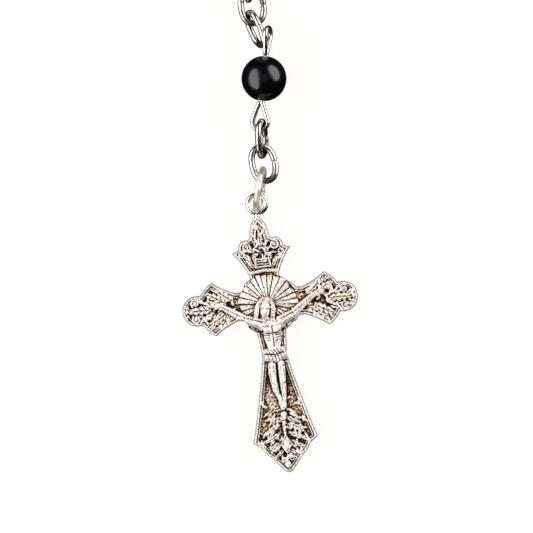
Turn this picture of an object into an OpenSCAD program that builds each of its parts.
// Five-decade rosary, laid out flat: a crucifix on a pendant chain of beads,
// a centrepiece, and a round loop of five decades.  Millimetres, +Z up.
// The origin is on the back face of the crucifix, behind the middle of its halo.

/* [Beads] */
// Diameter of every bead
bead_d = 6; // [5.4:0.1:6.2]
// Diameter of the hole through a bead
bead_bore_d = 1; // [0.9:0.05:1.6]

/* [Eye pins] */
// Diameter of the wire of an eye pin
pin_wire_d = 0.64; // [0.5:0.02:0.66]
// Radius of an eye, on the middle of its wire
eye_r = 1; // [0.98:0.01:1.04]

/* [Chain links] */
// Diameter of the wire of a link
link_wire_d = 0.84; // [0.6:0.02:0.86]
// Diameter of the wire of the jump ring
jump_wire_d = 0.86; // [0.6:0.02:0.88]
// Radius of the jump ring, on the middle of its wire
jump_r = 2.7; // [2.66:0.02:2.74]

/* [Crucifix] */
// Thickness of the plate of the crucifix
plate_t = 1.8; // [1.75:0.05:2.1]
// Reach of a side arm from the middle of the crossbar
arm_reach = 11.7; // [11.4:0.1:12]
// Reach of the lower arm from the middle of the halo
foot_reach = 22.5; // [22:0.1:23]
// Radius of the halo disc
halo_r = 4.1; // [3.8:0.1:4.4]

/* [Centrepiece] */
// Width of the centrepiece's oval medal
medal_w = 12; // [11:0.5:13]
// Height of the centrepiece's oval medal
medal_h = 14; // [13:0.5:15]

/* [Hidden] */
$fn = 48;
wire_fn = 24;

bead_r = bead_d / 2;
pin_wire_r = pin_wire_d / 2;
link_wire_r = link_wire_d / 2;
jump_wire_r = jump_wire_d / 2;
silver = [0.62, 0.60, 0.56];
glass_black = [0.03, 0.03, 0.04];

// A link: half length and half width on the middle of its wire, with round ends.
link_a = 2.28;
link_b = 1.5;

// An eye pin: the shank is straight to pin_straight, bends over bend_r by
// eye_lean, runs into the round eye, and its tail comes back to the bead.
pin_straight = 2.95;
bend_r = 0.7;
eye_lean = 22;
tail_lean = 5;
tail_end = 3.14;
limb = (eye_r * cos(eye_lean) - bend_r * (1 - cos(eye_lean))) / sin(eye_lean);
eye_y = pin_straight + bend_r * sin(eye_lean) + limb * cos(eye_lean) + eye_r * sin(eye_lean);

// Where one piece hands over to the next: the inside of each end's wire.
play = 0.06;
link_pitch = 2 * (link_a - link_wire_r) - play;
pin_pitch = 2 * (eye_y + eye_r - pin_wire_r) - play;

// Pendant, from the crucifix up: the end that lies slack is placed piece by piece,
// as [x, y, z, yaw, pitch, roll] of each piece's middle.
crucifix_yaw = 7.4;
bail_at = [0.25, 13.33, 1.5];
bail_r = 1.22;
bail_wire_r = 0.29;
jump_at = [-1.08, 15.10, 3.24, -9, 1, 85];
link_1_at = [-0.58, 18.54, 2.03, 13, -2, 6];
link_2_at = [-0.83, 21.87, 2.29, 3, 15, 72];
pin_1_at = [-0.53, 29.80, 3.00, -5, 2, 0];
link_3_at = [-1.66, 36.40, 1.93, 24, -8, -66];
link_4_at = [-2.08, 39.44, 1.70, 7, -3, 8];
link_5_at = [-2.45, 42.50, 2.25, -3, 14, 80];

// The rest of the pendant is strung between hand-over points.  Each next point
// is one pitch further along a heading that drifts a few degrees.
upper_start = [-2.3, 43.8, 3.0];
upper_pitches = [pin_pitch, pin_pitch, pin_pitch, link_pitch, link_pitch, link_pitch,
    pin_pitch, link_pitch, link_pitch, link_pitch];
upper_heading = [94, 91, 87, 82, 87, 92, 90, 84, 88, 92];
upper_height = [3.0, 3.0, 3.0, 2.5, 2.5, 3.0, 3.0, 2.5, 2.1, 1.95];
upper = points_along(upper_start, upper_pitches, upper_heading, upper_height, 0);

// The loop: a slightly uneven ring around the crucifix.
ring_r = 130.3;
ring_at = [-2, 2.4];
ring_wave = 0.012;
first_angle = 3.5;
low_z = 1.95;
group_pitches = [link_pitch, link_pitch, link_pitch];
decade_pitches = [for (k = [1:10]) pin_pitch];
side_pitches = concat(group_pitches, decade_pitches, group_pitches, [pin_pitch],
    group_pitches, decade_pitches, group_pitches, [pin_pitch], group_pitches,
    [for (k = [1:5]) pin_pitch]);
// Heights of the hand-over points: beads lie on the table, links sag a little.
group_sag = [2.5, 2.5, 3.0];
bead_row = [for (k = [1:10]) 3.0];
side_height = concat([2.1, 2.5, 3.0], bead_row, group_sag, [3.0], group_sag, bead_row,
    group_sag, [3.0], group_sag, [for (k = [1:5]) 3.0]);

function norm3(v) = sqrt(v * v);
function next_point(p, pitch, heading, height) =
    let (dz = height - p[2], run = sqrt(pow(pitch, 2) - pow(dz, 2)))
    [p[0] + run * cos(heading), p[1] + run * sin(heading), height];
function points_along(p, pitches, headings, heights, k) =
    k == len(pitches) ? [p]
    : concat([p], points_along(next_point(p, pitches[k], headings[k], heights[k]),
        pitches, headings, heights, k + 1));

// A point of the ring at an angle from its top, to the side s = -1 (left) or 1.
function ring_radius(a, s) = ring_r * (1 + ring_wave * sin(3 * a * s + 40) * sin(a));
function ring_point(a, s, z) =
    [ring_at[0] + s * ring_radius(a, s) * sin(a), ring_at[1] + ring_radius(a, s) * cos(a), z];
function ring_step(a, s, pitch, z0, z1) =
    let (one = 180 / (PI * ring_r),
        p0 = ring_point(a, s, z0),
        a1 = a + pitch * one,
        a2 = a1 + (pitch - norm3(ring_point(a1, s, z1) - p0)) * one,
        a3 = a2 + (pitch - norm3(ring_point(a2, s, z1) - p0)) * one)
    a3 + (pitch - norm3(ring_point(a3, s, z1) - p0)) * one;
function ring_points(a, s, z, k) =
    k == len(side_pitches) ? [ring_point(a, s, z)]
    : concat([ring_point(a, s, z)],
        ring_points(ring_step(a, s, side_pitches[k], z, side_height[k]), s, side_height[k], k + 1));
side_points = [for (s = [-1, 1]) ring_points(first_angle, s, low_z, 0)];

module place(p) {
    translate([p[0], p[1], p[2]]) rotate([0, 0, p[3]]) rotate([p[4], 0, 0])
        rotate([0, p[5], 0]) children();
}

// Puts a piece's long axis, +Y, from point p to point q, turned by roll about it.
module span(p, q, roll) {
    d = q - p;
    yaw = atan2(d[1], d[0]) - 90;
    pitch = asin(d[2] / norm3(d));
    m = (p + q) / 2;
    place([m[0], m[1], m[2], yaw, pitch, roll]) children();
}

// A piece of bent wire: an arc of the circle of radius r about [x, y].
module bend(x, y, r, from, sweep, wire_r) {
    translate([x, y, 0]) rotate([0, 0, from])
        rotate_extrude(angle = sweep, $fn = 96) translate([r, 0]) circle(r = wire_r, $fn = wire_fn);
}

// A straight piece of wire from [x, y], its heading measured from +Y towards -X.
module straight(x, y, heading, len, wire_r) {
    translate([x, y, 0]) rotate([0, 0, heading]) rotate([-90, 0, 0])
        cylinder(h = len, r = wire_r, $fn = wire_fn);
}

module link_shape() {
    color(silver) for (k = [0, 180]) rotate([0, 0, k]) {
        bend(0, link_a - link_b, link_b, 0, 180, link_wire_r);
        straight(link_b, link_b - link_a, 0, 2 * (link_a - link_b), link_wire_r);
    }
}

module ring_shape(r, wire_r) {
    rotate_extrude($fn = 96) translate([r, 0]) circle(r = wire_r, $fn = wire_fn);
}

// One eye, beyond the end of the shank, with a small collar where it is soldered.
collar = 0.02;
module eye() {
    tip_x = -bend_r * (1 - cos(eye_lean));
    tip_y = pin_straight + bend_r * sin(eye_lean);
    tail_len = (eye_y - eye_r * sin(tail_lean) - tail_end) / cos(tail_lean);
    translate([0, pin_straight, 0]) sphere(r = pin_wire_r + collar, $fn = 32);
    bend(-bend_r, pin_straight, bend_r, 0, eye_lean, pin_wire_r);
    straight(tip_x, tip_y, eye_lean, limb, pin_wire_r);
    bend(0, eye_y, eye_r, -tail_lean, 180 + eye_lean + tail_lean, pin_wire_r);
    straight(eye_r * cos(tail_lean), eye_y - eye_r * sin(tail_lean), 180 - tail_lean,
        tail_len, pin_wire_r);
}

// An eye pin, each eye turned about the shank by its own angle.
module pin_shape(near_turn, far_turn) {
    color(silver) {
        straight(0, -pin_straight, 0, 2 * pin_straight, pin_wire_r);
        rotate([0, far_turn, 0]) eye();
        rotate([0, near_turn, 0]) rotate([0, 0, 180]) eye();
    }
}

module bead_shape() {
    color(glass_black) difference() {
        sphere(r = bead_r);
        rotate([90, 0, 0]) cylinder(h = bead_d + 2, r = bead_bore_d / 2, center = true);
    }
}

// Outline of the right half of the crucifix, from the top down, as [x, y, bulge].
// bulge is how far the edge to the next point stands outside the straight line.
lobe = [9.15, 1.95, arm_reach - 9.15];
cross_half = [
    [0, 11.75, 0.03], [0.45, 11.45, 0.1], [1.15, 10.05, 0], [1.35, 9.1, -0.2],
    [1.85, 8.75, 0.35], [2.95, 7.65, -0.1], [3.92, 7.22, -0.14], [2.15, 4.4, -0.05],
    [1.95, 3.55, 0.146], [3.62, 1.93, 0], [4.4, 1.85, -0.16], [7.5, 3.55, 0.15],
    lobe, [lobe[0], -lobe[1], 0.15], [7.5, -3.55, -0.16], [4.4, -1.85, 0],
    [3.62, -1.93, 0.146], [1.95, -3.6, 0], [1.62, -6.8, -0.13], [4.3, -18.15, 0],
    [3.3, -18.85, 0.12], [2.05, -20.35, 0.05], [0.75, -21.95, 0.12], [0, -foot_reach, 0]
];
edge_steps = 6;
// The crossbar sits a little askew and to the right.
bar_tilt = -1.4;
bar_shift = 0.3;

// Points from a up to b, b left out, along the arc that bulges by a[2] to the left.
function edge_points(a, b) =
    let (from = [a[0], a[1]], d = [b[0], b[1]] - from, chord = norm3(d), u = d / chord,
        left = [-u[1], u[0]], half = 2 * atan(2 * a[2] / chord))
    a[2] == 0 ? [from]
    : [for (k = [0:edge_steps - 1])
        let (t = half * (2 * k / edge_steps - 1), r = chord / 2 / sin(half))
        from + d / 2 + r * sin(t) * u + r * (cos(t) - cos(half)) * left];
function is_bar(p) = abs(p[0]) > 3 && abs(p[1]) < 4.5;
function bar_point(p) = !is_bar(p) ? p
    : [p[0] * cos(bar_tilt) - p[1] * sin(bar_tilt) + bar_shift,
        p[0] * sin(bar_tilt) + p[1] * cos(bar_tilt)];
last = len(cross_half) - 1;
right_edge = [for (k = [0:last - 1]) each edge_points(cross_half[k], cross_half[k + 1])];
left_edge = [for (k = [len(right_edge) - 1:-1:1]) [-right_edge[k][0], right_edge[k][1]]];
cross_outline = [for (p = concat(right_edge, [[0, -foot_reach]], left_edge)) bar_point(p)];

// The figure in low relief: head, body, arms to the hands, and legs.
corpus_z = plate_t - 0.2;
module limb_shape(a, ra, b, rb) {
    hull() {
        translate([a[0], a[1], corpus_z]) cylinder(h = a[2], r1 = ra, r2 = ra * 0.5, $fn = 16);
        translate([b[0], b[1], corpus_z]) cylinder(h = b[2], r1 = rb, r2 = rb * 0.5, $fn = 16);
    }
}
module corpus() {
    translate([-0.2, -0.5, corpus_z]) sphere(r = 1.2, $fn = 32);
    limb_shape([-0.7, -2.8, 0.8], 1.1, [-6.6, -0.7, 0.5], 0.5);
    limb_shape([0.9, -2.7, 0.8], 1.1, [6.7, 0.7, 0.5], 0.5);
    limb_shape([0, -3.2, 1.1], 1.5, [0, -6.2, 1.0], 1.0);
    limb_shape([0, -6.2, 1.0], 1.3, [0, -7.6, 1.0], 1.3);
    limb_shape([0, -7.6, 1.0], 1.1, [-0.1, -13.2, 0.7], 0.7);
}

module crucifix() {
    color(silver) rotate([0, 0, crucifix_yaw]) {
        linear_extrude(plate_t) polygon(cross_outline);
        cylinder(h = plate_t + 0.2, r = halo_r);
        corpus();
        translate([0, 11, bail_at[2]]) rotate([-90, 0, 0])
            cylinder(h = bail_at[1] - bail_r - 11, r = bail_wire_r + 0.1);
        translate(bail_at) ring_shape(bail_r, bail_wire_r);
    }
}

// The centrepiece: an oval medal with three flat rings, one below for the
// pendant and one at each upper corner for the loop.
medal_t = 2.2;
medal_ring_r = 1.4;
medal_ring_wire_r = 0.35;
medal_ring_z = 1.6;
medal_ring_in = medal_ring_r - medal_ring_wire_r - 2 * play;
low_contact = upper[len(upper) - 1];
low_ring_at = [low_contact[0], low_contact[1] + medal_ring_in];
// A ring and the stalk that joins it to the medal, whose end is inside the medal.
module medal_ring(at, toward) {
    d = toward - at;
    color(silver) {
        translate([at[0], at[1], medal_ring_z]) ring_shape(medal_ring_r, medal_ring_wire_r);
        translate([at[0], at[1], medal_ring_z]) rotate([0, 0, atan2(d[1], d[0])])
            translate([medal_ring_r, 0, 0]) rotate([0, 90, 0])
            cylinder(h = norm3(d) - medal_ring_r - medal_w / 4, r = medal_ring_wire_r + 0.1);
    }
}
medal_at = [low_ring_at[0], low_ring_at[1] + medal_ring_r + medal_h / 2 + 0.2];
// The middle of the ring that a strand, from its points p and q, hangs in.
function ring_seat(p, q) =
    let (d = [p[0] - q[0], p[1] - q[1]]) [p[0], p[1]] + d / norm3(d) * medal_ring_in;

module centrepiece() {
    color(silver) {
        translate([medal_at[0], medal_at[1], 0]) intersection() {
            translate([-medal_w, -medal_h, 0]) cube([2 * medal_w, 2 * medal_h, medal_t]);
            union() {
                for (s = [-1, 1]) translate([s * medal_w * 0.16, 0, 0])
                    cylinder(h = medal_t, r = medal_w * 0.34);
                for (s = [-1, 1]) translate([0, s * medal_h * 0.22, 0])
                    cylinder(h = medal_t, r = medal_h * 0.28);
            }
        }
    }
    medal_ring(low_ring_at, medal_at);
    for (p = side_points) medal_ring(ring_seat(p[0], p[1]), medal_at);
}

module jump_ring() {
    color(silver) place(jump_at) ring_shape(jump_r, jump_wire_r);
}

// Pendant pieces, by their number from the crucifix up.
module pendant_link(k) {
    slack = [link_1_at, link_2_at, link_3_at, link_4_at, link_5_at];
    first = [3, 4, 5, 7, 8, 9];
    turn = [0, 90, 0, 90, 0, 90];
    if (k <= 5) place(slack[k - 1]) link_shape();
    else span(upper[first[k - 6]], upper[first[k - 6] + 1], turn[k - 6]) link_shape();
}

module our_father(k, part) {
    if (k == 1) place(pin_1_at)
        if (part == "bead") bead_shape(); else pin_shape(0, 70);
    if (k == 2) span(upper[6], upper[7], 0)
        if (part == "bead") bead_shape(); else pin_shape(90, 0);
}

module hail_mary(k, part) {
    span(upper[k - 1], upper[k], 0)
        if (part == "bead") bead_shape(); else pin_shape(0, 90);
}

// Loop pieces.  first is the number of the hand-over point that a piece starts at.
module loop_links(side, first, turn) {
    p = side_points[side];
    for (k = [0:2]) span(p[first + k], p[first + k + 1], turn + 90 * k) link_shape();
}

module loop_pins(side, first, near_turn) {
    p = side_points[side];
    for (k = [0:4]) span(p[first + k], p[first + k + 1], 0) pin_shape(near_turn, near_turn + 90);
}

module loop_beads(side, first) {
    p = side_points[side];
    for (k = [0:4]) span(p[first + k], p[first + k + 1], 0) bead_shape();
}

sides = ["left", "right"];
half_first = [3, 8, 20, 25, 37];
father_first = [13, 30];
// The right strand's last pins are turned a quarter, to meet the left strand's.
function near_turn(side, half) = side == 1 && half == 5 ? 90 : 0;
function father_far_turn(side, k) = side == 1 && k == 2 ? 90 : 0;

centrepiece();
crucifix();
jump_ring();
for (k = [1:11])
    pendant_link(k);
for (k = [1:2]) {
    our_father(k, "bead");
    our_father(k, "pin");
}
for (k = [1:3]) {
    hail_mary(k, "bead");
    hail_mary(k, "pin");
}
for (s = [0:1]) {
    loop_links(s, 0, 90);
    for (k = [1:5]) {
        loop_beads(s, half_first[k - 1]);
        loop_pins(s, half_first[k - 1], near_turn(s, k));
    }
    for (k = [1:2]) {
        first = father_first[k - 1];
        p = side_points[s];
        far = father_far_turn(s, k);
        span(p[first + 3], p[first + 4], 0) bead_shape();
        span(p[first + 3], p[first + 4], 0) pin_shape(90, far);
        union() {
            loop_links(s, first, 0);
            loop_links(s, first + 4, 90 - far);
        }
    }
}
